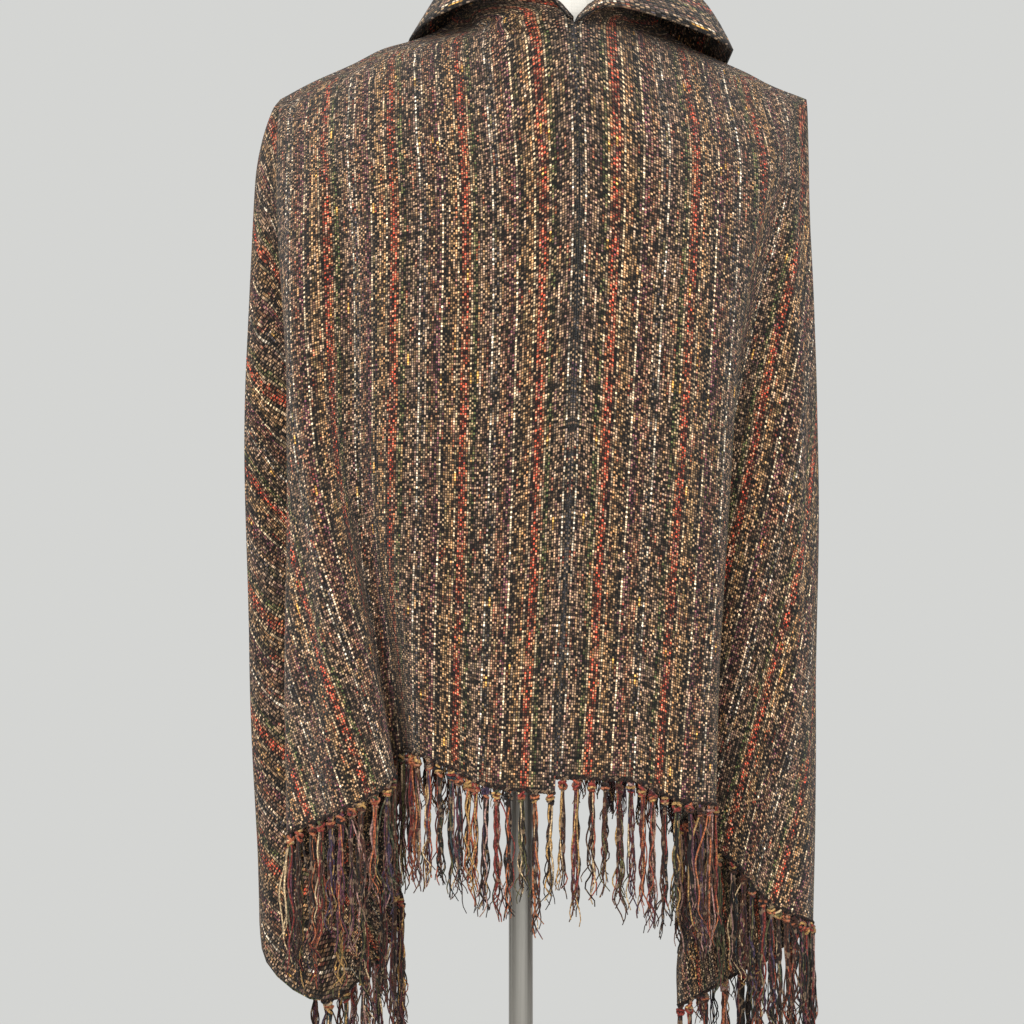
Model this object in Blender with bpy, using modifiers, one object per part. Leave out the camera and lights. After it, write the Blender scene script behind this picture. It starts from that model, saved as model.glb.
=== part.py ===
# Tweed poncho, two loom-width panels with knotted fringe, worn on a limbless dress form.
# Metres, +Z up. The origin is the centre of the base's underside, on the pole's axis.
# The garment's back faces -Y and its open front faces +Y.
import math
import random

import bmesh
import bpy
import numpy as np

OBJECT_NAME = "tweed_poncho"
GAP = 0.0003                 # between touching pieces
WALL = 0.002                 # cloth thickness

# Dress form: rings from the underside to the top of the neck
FORM_X = 0.028               # the form stands a little to the side of its pole
FORM_SIDES = 26
#     height  half width  half depth  centre y
FORM_ROWS = (
    (0.885, 0.110, 0.075, 0.004),
    (0.893, 0.146, 0.100, 0.004),
    (0.925, 0.158, 0.106, 0.004),
    (0.990, 0.164, 0.108, 0.002),
    (1.060, 0.152, 0.098, 0.002),
    (1.140, 0.128, 0.085, 0.002),
    (1.210, 0.136, 0.092, 0.005),
    (1.270, 0.152, 0.104, 0.009),
    (1.320, 0.172, 0.102, 0.008),
    (1.352, 0.198, 0.088, 0.004),
    (1.376, 0.214, 0.066, 0.002),
    (1.395, 0.206, 0.050, 0.000),
    (1.409, 0.192, 0.044, 0.000),
    (1.422, 0.173, 0.042, 0.000),
    (1.434, 0.148, 0.042, 0.000),
    (1.444, 0.118, 0.044, 0.000),
    (1.455, 0.089, 0.049, 0.000),
    (1.470, 0.067, 0.054, 0.002),
    (1.492, 0.061, 0.055, 0.004),
    (1.525, 0.059, 0.054, 0.006),
    (1.541, 0.057, 0.052, 0.006),
    (1.545, 0.051, 0.046, 0.006),
)

# Stand
POLE_RADIUS = 0.011
SOCKET_FLOOR = 0.012
SOCKET_TOP = 0.055
HUB_RADIUS = 0.022
BASE_RADIUS = 0.150
BASE_EDGE = 0.008

# Flat cut of one panel, measured from the shoulder crease and the centre-back seam
PANEL_WIDTH = 0.70
HALF_LENGTH = 0.69
YOKE_Z = 1.32                # the fold tables give plan positions at these two heights
MID_Z = 1.12
CREST_REACH = 0.30           # share of the way to the yoke where the cloth turns down
CREST_DROP = 0.010
SLIT_BLEND = 0.09            # width over which the neck slit draws the cloth aside
ROWS_BETWEEN = (3, 3, 4, 5)  # shoulder to crest, crest to yoke, yoke to mid, mid to hem
STRIP_COLUMNS = 10
FAN_STEP = 0.05              # widest column of the fan round the shoulder tip, along the flat edge
SEAM_HALF_GAPS = (0.0014, 0.0005)   # at the shoulder, where the two walls lean apart, and at the hem
CLEAR_OF_FORM = 0.0019       # wall's middle to the form, half the wall included
NECK_CLEAR = 0.075           # plan radius about the form's axis that the neckline keeps
NECK_BASE_Z = 1.450

# Neck slit: the point at the back where the panels part
SLIT_POINT = (0.046, -0.070, 1.456)

# Shoulder line of each panel, from the fold at the neck out to the tip
SHOULDER = {
    "left": ((-0.048, 1.492), (-0.070, 1.466), (-0.096, 1.454), (-0.124, 1.446),
             (-0.152, 1.432), (-0.190, 1.415), (-0.218, 1.400)),
    "right": ((0.112, 1.495), (0.130, 1.463), (0.150, 1.449), (0.178, 1.436),
              (0.205, 1.424), (0.226, 1.413), (0.259, 1.400)),
}
TIP_S = {"left": 0.260, "right": 0.211}   # shoulder tip on the flat cut, from the seam

# Folds, from the back seam round the side to the front edge. s and t are the place on the
# flat cut where the fold meets the panel's edge; then plan x, y at the yoke and at mid
# height, and the point on the edge itself.
FOLDS = {
    "left": (
        # name         s     t      yoke x   y        mid x    y        edge x   y       z
        ("seam",       0.00, 0.69,  0.050, -0.122,   0.044, -0.142,   0.029, -0.130, 0.786),
        ("back_a",     0.08, 0.69, -0.024, -0.128,  -0.030, -0.147,  -0.030, -0.133, 0.793),
        ("back_b",     0.15, 0.69, -0.092, -0.118,  -0.092, -0.139,  -0.067, -0.132, 0.811),
        ("back_c",     0.195, 0.69, -0.130, -0.107, -0.126, -0.128,  -0.095, -0.119, 0.820),
        ("valley_in",  0.230, 0.69, -0.152, -0.098, -0.142, -0.114,  -0.103, -0.080, 0.817),
        ("valley_out", 0.250, 0.69, -0.162, -0.093, -0.150, -0.114,  -0.119, -0.079, 0.812),
        ("flute_edge", 0.300, 0.69, -0.179, -0.085, -0.164, -0.125,  -0.107, -0.142, 0.801),
        ("flute_back", 0.35, 0.69, -0.194, -0.076,  -0.178, -0.133,  -0.140, -0.158, 0.780),
        ("flute_dip",  0.41, 0.69, -0.206, -0.066,  -0.192, -0.127,  -0.174, -0.140, 0.763),
        ("ridge_a",    0.45, 0.69, -0.2145, -0.058, -0.201, -0.113,  -0.202, -0.128, 0.750),
        ("ridge_in",   0.475, 0.69, -0.2165, -0.054, -0.203, -0.102, -0.200, -0.108, 0.740),
        ("valley_ab",  0.57, 0.69,  -0.215, -0.046, -0.160, -0.068,  -0.107, -0.061, 0.690),
        ("valley_b",   0.61, 0.69,  -0.216, -0.040, -0.159, -0.050,  -0.106, -0.032, 0.672),
        ("corner",     0.70, 0.69,  -0.230, -0.031,  -0.231, -0.046,  -0.177, -0.050, 0.589),
        ("ridge_b",    0.70, 0.635, -0.238, -0.022,  -0.246, -0.034,  -0.232, -0.041, 0.632),
        ("ridge_bb",   0.70, 0.60,  -0.239, -0.017,  -0.246, -0.021,  -0.234, -0.024, 0.662),
        ("valley_bc",  0.70, 0.34,  -0.236, -0.008,  -0.158, -0.012,  -0.142, -0.014, 0.845),
        ("valley_c",   0.70, 0.24,  -0.236, -0.002,  -0.158, 0.000,   -0.142, 0.002, 0.880),
        ("side",       0.70, 0.00, -0.240, 0.010,   -0.246, 0.018,   -0.246, 0.018, 0.950),
        ("valley_cd",  0.70, -0.24, -0.234, 0.021,  -0.158, 0.034,   -0.140, 0.034, 0.880),
        ("valley_d",   0.70, -0.34, -0.234, 0.026,  -0.158, 0.046,   -0.140, 0.048, 0.845),
        ("ridge_c",    0.70, -0.59, -0.233, 0.036,  -0.245, 0.057,   -0.237, 0.058, 0.665),
        ("ridge_d",    0.70, -0.63, -0.231, 0.041,  -0.243, 0.068,   -0.234, 0.073, 0.640),
        ("corner_f",   0.70, -0.69, -0.226, 0.048,  -0.226, 0.079,   -0.198, 0.084, 0.598),
        ("valley_f",   0.60, -0.69, -0.218, 0.057,  -0.164, 0.080,   -0.130, 0.068, 0.668),
        ("valley_g",   0.565, -0.69, -0.216, 0.063, -0.162, 0.093,   -0.128, 0.086, 0.684),
        ("ridge_f",    0.48, -0.69, -0.208, 0.074,  -0.206, 0.112,   -0.204, 0.110, 0.722),
        ("ridge_g",    0.44, -0.69, -0.200, 0.082,  -0.194, 0.138,   -0.196, 0.152, 0.750),
        ("front_d",    0.365, -0.69, -0.182, 0.092, -0.166, 0.122,   -0.160, 0.120, 0.790),
        ("front_c",    0.29, -0.69, -0.156, 0.106,  -0.138, 0.152,   -0.134, 0.160, 0.825),
        ("front_b",    0.21, -0.69, -0.126, 0.117,  -0.104, 0.118,   -0.098, 0.108, 0.845),
        ("front_a",    0.13, -0.69, -0.086, 0.125,  -0.070, 0.154,   -0.066, 0.158, 0.855),
        ("front_in",   0.06, -0.69, -0.052, 0.131,  -0.038, 0.140,   -0.033, 0.118, 0.858),
        ("front_edge", 0.00, -0.69, -0.024, 0.134,  -0.012, 0.154,   -0.006, 0.150, 0.858),
    ),
    "right": (
        # name         s     t      yoke x   y        mid x    y        edge x   y       z
        ("seam",       0.00, 0.69,  0.050, -0.122,   0.044, -0.142,   0.029, -0.130, 0.799),
        ("back_a",     0.075, 0.69, 0.118, -0.122,   0.108, -0.146,   0.090, -0.134, 0.798),
        ("back_b",     0.145, 0.69, 0.180, -0.103,   0.158, -0.136,   0.136, -0.135, 0.780),
        ("ridge_a",    0.180, 0.69, 0.203, -0.090,   0.177, -0.127,   0.161, -0.131, 0.777),
        ("ridge_in",   0.205, 0.69, 0.216, -0.082,   0.184, -0.114,   0.168, -0.114, 0.774),
        ("valley_ab",  0.29, 0.69,  0.228, -0.064,   0.184, -0.076,   0.140, -0.068, 0.752),
        ("valley_b",   0.325, 0.69, 0.232, -0.056,   0.190, -0.064,   0.146, -0.046, 0.740),
        ("flute_in",   0.37, 0.69,  0.243, -0.046,   0.224, -0.064,   0.186, -0.055, 0.720),
        ("flute_mid",  0.43, 0.69,  0.249, -0.036,   0.245, -0.058,   0.220, -0.067, 0.681),
        ("flute_out",  0.50, 0.69,  0.256, -0.024,   0.261, -0.038,   0.252, -0.052, 0.665),
        ("ridge_b",    0.56, 0.69,  0.260, -0.012,   0.2665, -0.016,  0.264, -0.020, 0.655),
        ("turn_in",    0.63, 0.69,  0.255, 0.000,    0.244, 0.002,    0.204, 0.002, 0.611),
        ("corner",     0.70, 0.69,  0.250, 0.006,    0.224, 0.010,    0.143, 0.006, 0.576),
        ("selvage_a",  0.70, 0.60,  0.250, 0.013,    0.223, 0.024,    0.146, 0.030, 0.628),
        ("selvage_b",  0.70, 0.42,  0.252, 0.020,    0.225, 0.036,    0.174, 0.044, 0.745),
        ("selvage_c",  0.70, 0.24,  0.257, 0.027,    0.242, 0.046,    0.220, 0.050, 0.850),
        ("side",       0.70, 0.00,  0.262, 0.034,    0.264, 0.056,    0.262, 0.058, 0.910),
        ("valley_cd",  0.70, -0.24, 0.250, 0.042,    0.190, 0.066,    0.164, 0.066, 0.850),
        ("valley_d",   0.70, -0.38, 0.246, 0.048,    0.190, 0.078,    0.162, 0.082, 0.775),
        ("ridge_e",    0.70, -0.62, 0.250, 0.053,    0.256, 0.084,    0.240, 0.084, 0.630),
        ("corner_f",   0.70, -0.69, 0.249, 0.057,    0.252, 0.095,    0.230, 0.099, 0.594),
        ("valley_e",   0.61, -0.69, 0.236, 0.064,    0.196, 0.103,    0.172, 0.102, 0.650),
        ("valley_f",   0.57, -0.69, 0.234, 0.070,    0.194, 0.114,    0.170, 0.117, 0.668),
        ("ridge_f",    0.49, -0.69, 0.232, 0.078,    0.238, 0.131,    0.238, 0.139, 0.700),
        ("ridge_g",    0.45, -0.69, 0.223, 0.085,    0.222, 0.150,    0.220, 0.162, 0.733),
        ("front_d",    0.375, -0.69, 0.206, 0.093,   0.192, 0.130,    0.188, 0.130, 0.775),
        ("front_c",    0.295, -0.69, 0.190, 0.102,   0.166, 0.152,    0.162, 0.157, 0.812),
        ("front_b",    0.21, -0.69, 0.168, 0.112,    0.140, 0.118,    0.132, 0.108, 0.838),
        ("front_a",    0.13, -0.69, 0.134, 0.124,    0.108, 0.154,    0.102, 0.158, 0.852),
        ("front_in",   0.06, -0.69, 0.100, 0.131,    0.084, 0.140,    0.079, 0.118, 0.858),
        ("front_edge", 0.00, -0.69, 0.074, 0.134,    0.062, 0.155,    0.056, 0.148, 0.858),
    ),
}
FOLD_ROUNDING = (-0.012, -0.006, 0.0, 0.006, 0.012)   # folds are averaged over this width of cloth

# Front edge just below the shoulder, where the lapel's fold leaves the neck
FRONT_CREST = {"left": (-0.042, 0.064, 1.452), "right": (0.104, 0.064, 1.452)}

# Free edge of the turned-out lapel, counted in rows along its fold from the neck slit (0),
# over the shoulder (3) and down the front to where it ends (13)
LAPEL = {
    "left": (
        # row   x       y       z
        (1.0,  0.014, -0.094, 1.478),
        (2.0, -0.036, -0.086, 1.474),
        (3.0, -0.088, -0.032, 1.462),
        (4.5, -0.104, 0.044, 1.456),
        (6.0, -0.104, 0.100, 1.408),
        (9.0, -0.066, 0.160, 1.270),
        (12.0, -0.018, 0.172, 1.165),
    ),
    "right": (
        (1.0,  0.078, -0.096, 1.466),
        (2.0,  0.142, -0.074, 1.454),
        (3.0,  0.190, -0.028, 1.440),
        (4.5,  0.190, 0.050, 1.438),
        (6.0,  0.172, 0.104, 1.396),
        (9.0,  0.122, 0.160, 1.270),
        (12.0, 0.068, 0.172, 1.165),
    ),
}
LAPEL_STEPS = 4
LAPEL_LIFT = 0.036           # how far the roll stands above the straight line across it
LAPEL_OUT = 0.006

# Fringe
LOCKS_PER_HEM = 52
LOCK_LENGTH = 0.108
LOCK_LENGTH_SPREAD = 0.16
LOCK_SWAY = 0.0018
LOCK_ROOT = 0.0022           # half width of a lock's root along the hem
LOCK_BELLY = 0.0023
STRIP_BELOW_HEM = 0.0010
STRIP_HEIGHT = 0.0050
STRIP_HALF_DEPTH = 0.0016


def material(name, colour, roughness, metallic=0.0):
    result = bpy.data.materials.new(name)
    result.use_nodes = True
    shader = result.node_tree.nodes["Principled BSDF"]
    shader.inputs["Base Color"].default_value = (*colour, 1.0)
    shader.inputs["Roughness"].default_value = roughness
    shader.inputs["Metallic"].default_value = metallic
    return result


def add_object(name, mesh, skin, collection):
    result = bpy.data.objects.new(name, mesh)
    result.data.materials.append(skin)
    collection.objects.link(result)
    return result


def smooth_curve(knots, values, places):
    """Monotone cubic through the values, so that folds never overshoot."""
    knots = np.asarray(knots, float)
    values = np.asarray(values, float)
    steps = np.diff(knots)[:, None]
    slopes = np.diff(values, axis=0) / steps
    tangents = np.zeros_like(values)
    left, right = slopes[:-1], slopes[1:]
    same_way = left * right > 0
    weight_a = 2 * steps[1:] + steps[:-1]
    weight_b = steps[1:] + 2 * steps[:-1]
    with np.errstate(divide="ignore", invalid="ignore"):
        mean = (weight_a + weight_b) / (weight_a / left + weight_b / right)
    tangents[1:-1] = np.where(same_way, mean, 0.0)
    tangents[0], tangents[-1] = slopes[0], slopes[-1]
    places = np.asarray(places, float)
    spans = np.clip(np.searchsorted(knots, places, side="right") - 1, 0, len(knots) - 2)
    width = steps[spans]
    u = ((places - knots[spans])[:, None]) / width
    return ((2 * u ** 3 - 3 * u ** 2 + 1) * values[spans] + (u ** 3 - 2 * u ** 2 + u) * width * tangents[spans]
            + (3 * u ** 2 - 2 * u ** 3) * values[spans + 1] + (u ** 3 - u ** 2) * width * tangents[spans + 1])


def rounded_folds(stops, values, places):
    """Fold curves averaged over a little cloth. The mirrored ends keep the edges in place."""
    ends = smooth_curve(stops, values, [stops[0], stops[-1]])
    total = np.zeros((len(places), len(values[0])))
    for shift in FOLD_ROUNDING:
        moved = places + shift
        inside = np.where(moved < stops[0], 2 * stops[0] - moved, moved)
        inside = np.where(inside > stops[-1], 2 * stops[-1] - inside, inside)
        curve = smooth_curve(stops, values, inside)
        curve = np.where((moved < stops[0])[:, None], 2 * ends[0] - curve, curve)
        curve = np.where((moved > stops[-1])[:, None], 2 * ends[1] - curve, curve)
        total += curve
    return total / len(FOLD_ROUNDING)


def edge_distance(s, t):
    """Distance round the flat panel's edge from the foot of the back seam."""
    if t >= HALF_LENGTH:
        return s
    if t <= -HALF_LENGTH:
        return 2 * PANEL_WIDTH + 2 * HALF_LENGTH - s
    return PANEL_WIDTH + HALF_LENGTH - t


def column_places(side):
    """Edge distances of the columns: even ones over the shoulder, and the fan between."""
    total = 2 * PANEL_WIDTH + 2 * HALF_LENGTH
    strip = [TIP_S[side] * i / STRIP_COLUMNS for i in range(STRIP_COLUMNS + 1)]
    stops = [edge_distance(row[1], row[2]) for row in FOLDS[side]]
    inner = [p for p in stops if strip[-1] + 0.02 < p < total - strip[-1] - 0.02]
    stops = [strip[-1], *inner, total - strip[-1]]
    fan = []
    for start, end in zip(stops, stops[1:]):
        pieces = min(3, max(1, math.ceil((end - start) / FAN_STEP)))
        fan += [start + (end - start) * i / pieces for i in range(1, pieces + 1)]
    return np.array(strip + fan + [total - p for p in reversed(strip[:-1])])


def shoulder_points(side, s):
    """Points of the shoulder line, spread evenly along it from the neck to the tip."""
    line = np.array([(x, 0.0, z) for x, z in SHOULDER[side]])
    lengths = np.concatenate([[0.0], np.cumsum(np.linalg.norm(np.diff(line, axis=0), axis=1))])
    return smooth_curve(lengths, line, np.clip(s / TIP_S[side], 0, 1) * lengths[-1])


def panel_grid(side):
    """Columns from the shoulder line down to the panel's edge, as an array of points."""
    places = column_places(side)
    total = 2 * PANEL_WIDTH + 2 * HALF_LENGTH
    stops = [edge_distance(row[1], row[2]) for row in FOLDS[side]]
    plan = rounded_folds(stops, [row[3:] for row in FOLDS[side]], places)
    from_seam = np.minimum(places, total - places)
    top = shoulder_points(side, from_seam)
    yoke = np.column_stack([plan[:, 0], plan[:, 1], np.full(len(places), YOKE_Z)])
    mid = np.column_stack([plan[:, 2], plan[:, 3], np.full(len(places), MID_Z)])
    hem = plan[:, 4:7]
    crest = top + CREST_REACH * (yoke - top)
    crest[:, 2] = top[:, 2] - CREST_DROP
    blend = np.clip(1 - from_seam / SLIT_BLEND, 0, 1)[:, None] ** 2
    at_back = (places < total / 2)[:, None]
    drawn_to = np.where(at_back, np.array(SLIT_POINT), np.array(FRONT_CREST[side]))
    crest = crest + blend * (drawn_to - crest)
    columns = []
    for controls in np.stack([top, crest, yoke, mid, hem], axis=1):
        chords = np.concatenate([[0.0], np.cumsum(np.linalg.norm(np.diff(controls, axis=0), axis=1))])
        levels = [0.0]
        for (start, end), rows in zip(zip(chords, chords[1:]), ROWS_BETWEEN):
            levels += [start + (end - start) * i / rows for i in range(1, rows + 1)]
        columns.append(smooth_curve(chords, controls, levels))
    grid = np.array(columns)
    outward = -1 if side == "left" else 1
    grid[0, :, 0] += outward * np.linspace(*SEAM_HALF_GAPS, grid.shape[1])
    reach = np.hypot(grid[..., 0] - FORM_X, grid[..., 1])
    short = (grid[..., 2] > NECK_BASE_Z) & (reach < NECK_CLEAR)
    push = np.where(short, NECK_CLEAR / reach, 1.0)
    grid[..., 0] = FORM_X + (grid[..., 0] - FORM_X) * push
    grid[..., 1] *= push
    return places, grid


def lapel_grid(side, grid):
    """The selvage turned out round the neck: rows along its fold, steps across it."""
    back_rows = ROWS_BETWEEN[0]
    front_rows = sum(ROWS_BETWEEN[:3])
    fold = np.concatenate([grid[0, back_rows:0:-1], grid[-1, :front_rows + 1]])
    last = len(fold) - 1
    stops = [0.0, *[row[0] for row in LAPEL[side]], float(last)]
    free = smooth_curve(stops, [fold[0], *[row[1:] for row in LAPEL[side]], fold[-1]], range(last + 1))
    across = np.linspace(0, 1, LAPEL_STEPS + 1)[1:]
    strips = []
    for k in range(1, last):
        width = np.linalg.norm(free[k] - fold[k])
        lift = LAPEL_LIFT * min(1.0, width / 0.08)
        outward = (free[k] - fold[k]) * (1, 1, 0)
        outward /= np.linalg.norm(outward)
        control = fold[k] + np.array([0, 0, lift]) + outward * (0.35 * width + LAPEL_OUT)
        strips.append([(1 - w) ** 2 * fold[k] + 2 * w * (1 - w) * control + w ** 2 * free[k] for w in across])
    return strips


def panel(side, skin, collection):
    places, grid = panel_grid(side)
    columns, rows = grid.shape[:2]
    last = columns - 1
    bm = bmesh.new()
    top = {}
    for i in range(STRIP_COLUMNS):
        top[i] = top[last - i] = bm.verts.new(grid[i, 0])
    tip = bm.verts.new(grid[STRIP_COLUMNS, 0])
    verts = []
    for i in range(columns):
        verts.append([top.get(i, tip)] + [bm.verts.new(point) for point in grid[i, 1:]])
    for left_column, right_column in zip(verts, verts[1:]):
        for j in range(rows - 1):
            corners = [left_column[j], left_column[j + 1], right_column[j + 1], right_column[j]]
            bm.faces.new(list(dict.fromkeys(corners)))
    fold = verts[0][ROWS_BETWEEN[0]:0:-1] + verts[-1][:sum(ROWS_BETWEEN[:3]) + 1]
    strips = [[vert] + [bm.verts.new(point) for point in points]
              for vert, points in zip(fold[1:-1], lapel_grid(side, grid))]
    strips = [[fold[0]] * (LAPEL_STEPS + 1), *strips, [fold[-1]] * (LAPEL_STEPS + 1)]
    for near, far in zip(strips, strips[1:]):
        for k in range(LAPEL_STEPS):
            corners = [near[k], far[k], far[k + 1], near[k + 1]]
            bm.faces.new(list(dict.fromkeys(corners)))
    bmesh.ops.recalc_face_normals(bm, faces=bm.faces)
    mesh = bpy.data.meshes.new(f"panel_{side}")
    bm.to_mesh(mesh)
    bm.free()
    mesh.shade_smooth()
    result = add_object(f"panel_{side}", mesh, skin, collection)
    clear = result.modifiers.new("clear_of_form", "SHRINKWRAP")
    clear.target = bpy.data.objects["form_torso"]
    clear.wrap_method = "NEAREST_SURFACEPOINT"
    clear.wrap_mode = "OUTSIDE"
    clear.offset = CLEAR_OF_FORM
    wall = result.modifiers.new("wall", "SOLIDIFY")
    wall.thickness = WALL
    wall.offset = 0.0
    return places, grid


def fringe(name, places, grid, first, last, skin, collection, seed):
    """A thin strip under the hem with a hanging lock at every knot, as one mesh."""
    rng = random.Random(seed)
    hem = grid[:, -1]
    down = grid[:, -1] - grid[:, -2]
    down /= np.linalg.norm(down, axis=1)[:, None]
    pitch = (last - first) / LOCKS_PER_HEM

    def on_hem(place):
        point = np.array([np.interp(place, places, hem[:, k]) for k in range(3)])
        slope = np.array([np.interp(place, places, down[:, k]) for k in range(3)])
        return point, slope / np.linalg.norm(slope)

    bm = bmesh.new()
    sections = []
    for i in range(LOCKS_PER_HEM):
        centre = first + (i + 0.5) * pitch
        ahead = on_hem(centre + LOCK_ROOT)[0] - on_hem(centre - LOCK_ROOT)[0]
        across = np.cross(ahead, on_hem(centre)[1])
        across /= np.linalg.norm(across)
        for place in (centre - LOCK_ROOT, centre + LOCK_ROOT):
            point, slope = on_hem(place)
            upper = bm.verts.new(point + slope * STRIP_BELOW_HEM)
            foot = point + slope * (STRIP_BELOW_HEM + STRIP_HEIGHT)
            sections.append((upper, bm.verts.new(foot + across * STRIP_HALF_DEPTH),
                             bm.verts.new(foot - across * STRIP_HALF_DEPTH)))
    for k, (here, there) in enumerate(zip(sections, sections[1:])):
        bm.faces.new([here[0], here[1], there[1], there[0]])
        bm.faces.new([here[0], there[0], there[2], here[2]])
        roots = [here[1], here[2], there[2], there[1]]
        if k % 2:
            bm.faces.new(roots)
            continue
        middle = sum((np.array(v.co) for v in roots), np.zeros(3)) / 4
        length = LOCK_LENGTH * (1 + LOCK_LENGTH_SPREAD * rng.uniform(-1, 1))
        sway = np.array([rng.uniform(-1, 1), rng.uniform(-1, 1), 0]) * LOCK_SWAY
        belly = []
        for v in roots:
            away = (np.array(v.co) - middle) * (1, 1, 0)
            reach = away / max(np.linalg.norm(away), 1e-6) * LOCK_BELLY
            belly.append(bm.verts.new(middle + reach + sway * 0.4 - np.array([0, 0, length * 0.45])))
        point = bm.verts.new(middle + sway - np.array([0, 0, length]))
        for a, b, c, d in zip(roots, roots[1:] + roots[:1], belly[1:] + belly[:1], belly):
            bm.faces.new([a, b, c, d])
            bm.faces.new([d, c, point])
    bm.faces.new(list(sections[0]))
    bm.faces.new(list(reversed(sections[-1])))
    bmesh.ops.recalc_face_normals(bm, faces=bm.faces)
    mesh = bpy.data.meshes.new(name)
    bm.to_mesh(mesh)
    bm.free()
    add_object(name, mesh, skin, collection)


def dress_form(skin, collection):
    bm = bmesh.new()
    loops = []
    for height, half_width, half_depth, centre_y in FORM_ROWS:
        ring = bmesh.ops.create_circle(bm, segments=FORM_SIDES, radius=1.0, cap_ends=False)["verts"]
        for v in ring:
            v.co = (FORM_X + half_width * v.co.x, centre_y + half_depth * v.co.y, height)
        loops.append(ring)
    for lower, upper in zip(loops, loops[1:]):
        edges = list({e for v in lower for e in v.link_edges if e.other_vert(v) in lower}
                     | {e for v in upper for e in v.link_edges if e.other_vert(v) in upper})
        bmesh.ops.bridge_loops(bm, edges=edges)
    bmesh.ops.contextual_create(bm, geom=loops[0])
    bmesh.ops.contextual_create(bm, geom=loops[-1])
    bmesh.ops.recalc_face_normals(bm, faces=bm.faces)
    mesh = bpy.data.meshes.new("form_torso")
    bm.to_mesh(mesh)
    bm.free()
    mesh.shade_smooth()
    mesh.set_sharp_from_angle(angle=math.radians(50))
    add_object("form_torso", mesh, skin, collection)


def pole(skin, collection):
    bottom = SOCKET_FLOOR + GAP
    top = FORM_ROWS[0][0] - GAP
    bm = bmesh.new()
    bmesh.ops.create_cone(bm, cap_ends=True, segments=32, radius1=POLE_RADIUS, radius2=POLE_RADIUS,
                          depth=top - bottom)
    mesh = bpy.data.meshes.new("pole")
    bm.to_mesh(mesh)
    bm.free()
    mesh.shade_smooth()
    mesh.set_sharp_from_angle(angle=math.radians(40))
    result = add_object("pole", mesh, skin, collection)
    result.location.z = (top + bottom) / 2


def base(skin, collection):
    """Round base with a hub, turned in one profile, with a blind socket for the pole."""
    profile = (
        (0.0, SOCKET_FLOOR),
        (POLE_RADIUS + GAP, SOCKET_FLOOR),
        (POLE_RADIUS + GAP, SOCKET_TOP),
        (HUB_RADIUS - 0.002, SOCKET_TOP),
        (HUB_RADIUS, SOCKET_TOP - 0.002),
        (HUB_RADIUS, SOCKET_FLOOR + 0.006),
        (HUB_RADIUS + 0.006, SOCKET_FLOOR),
        (BASE_RADIUS - 0.006, BASE_EDGE + 0.001),
        (BASE_RADIUS - 0.001, BASE_EDGE - 0.002),
        (BASE_RADIUS, BASE_EDGE - 0.004),
        (BASE_RADIUS, 0.0),
        (0.0, 0.0),
    )
    mesh = bpy.data.meshes.new("base")
    mesh.from_pydata([(r, 0.0, z) for r, z in profile], [(i, i + 1) for i in range(len(profile) - 1)], [])
    result = add_object("base", mesh, skin, collection)
    turn = result.modifiers.new("turn", "SCREW")
    turn.steps = turn.render_steps = 40
    turn.use_merge_vertices = True
    turn.merge_threshold = 0.00005
    turn.use_smooth_shade = False


def build():
    for item in list(bpy.data.objects):
        bpy.data.objects.remove(item, do_unlink=True)
    collection = bpy.data.collections.new(OBJECT_NAME)
    bpy.context.scene.collection.children.link(collection)
    tweed = material("brown_tweed", (0.085, 0.050, 0.030), 0.9)
    yarn = material("knotted_yarn", (0.080, 0.035, 0.028), 0.9)
    jersey = material("cream_form_cover", (0.78, 0.75, 0.69), 0.7)
    steel = material("brushed_steel", (0.55, 0.54, 0.52), 0.35, 1.0)
    dress_form(jersey, collection)
    pole(steel, collection)
    base(steel, collection)
    total = 2 * PANEL_WIDTH + 2 * HALF_LENGTH
    for number, side in enumerate(("left", "right")):
        places, grid = panel(side, tweed, collection)
        fringe(f"fringe_back_{side}", places, grid, 0.0, PANEL_WIDTH, yarn, collection, 11 + number)
        fringe(f"fringe_front_{side}", places, grid, total - PANEL_WIDTH, total, yarn, collection, 21 + number)


build()
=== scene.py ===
import math
import random

import bmesh
import bpy
import numpy as np
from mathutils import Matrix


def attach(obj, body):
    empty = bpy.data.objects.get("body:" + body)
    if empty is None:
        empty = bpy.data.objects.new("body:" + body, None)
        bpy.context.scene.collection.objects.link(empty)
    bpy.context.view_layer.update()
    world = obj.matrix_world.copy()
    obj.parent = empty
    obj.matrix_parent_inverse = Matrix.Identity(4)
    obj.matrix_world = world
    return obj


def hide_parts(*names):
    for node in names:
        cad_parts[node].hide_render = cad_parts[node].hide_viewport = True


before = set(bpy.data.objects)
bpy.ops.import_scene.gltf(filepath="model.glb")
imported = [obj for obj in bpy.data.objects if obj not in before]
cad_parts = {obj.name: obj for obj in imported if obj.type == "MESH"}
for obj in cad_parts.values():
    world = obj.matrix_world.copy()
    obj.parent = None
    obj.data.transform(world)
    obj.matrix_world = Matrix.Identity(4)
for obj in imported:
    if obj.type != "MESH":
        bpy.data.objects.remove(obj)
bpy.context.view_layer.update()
bpy.ops.object.select_all(action="DESELECT")

print("frame loaded:", len(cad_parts), "nodes")

# Flat cut of one panel: s runs out from the centre-back seam, t down from the shoulder crease
cut = {
    "panelWidth": 0.70,
    "halfLength": 0.69,
    "wall": 0.0018,
    "tipS": {"left": 0.260, "right": 0.211},                      # shoulder tip, from the seam
    "shownTo": {"left": (0.475, 0.44), "right": (0.56, 0.45)},    # back and front, to the outermost fold
}
cutEdge = 2 * cut["panelWidth"] + 2 * cut["halfLength"]           # back hem, side selvage and front hem

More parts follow.
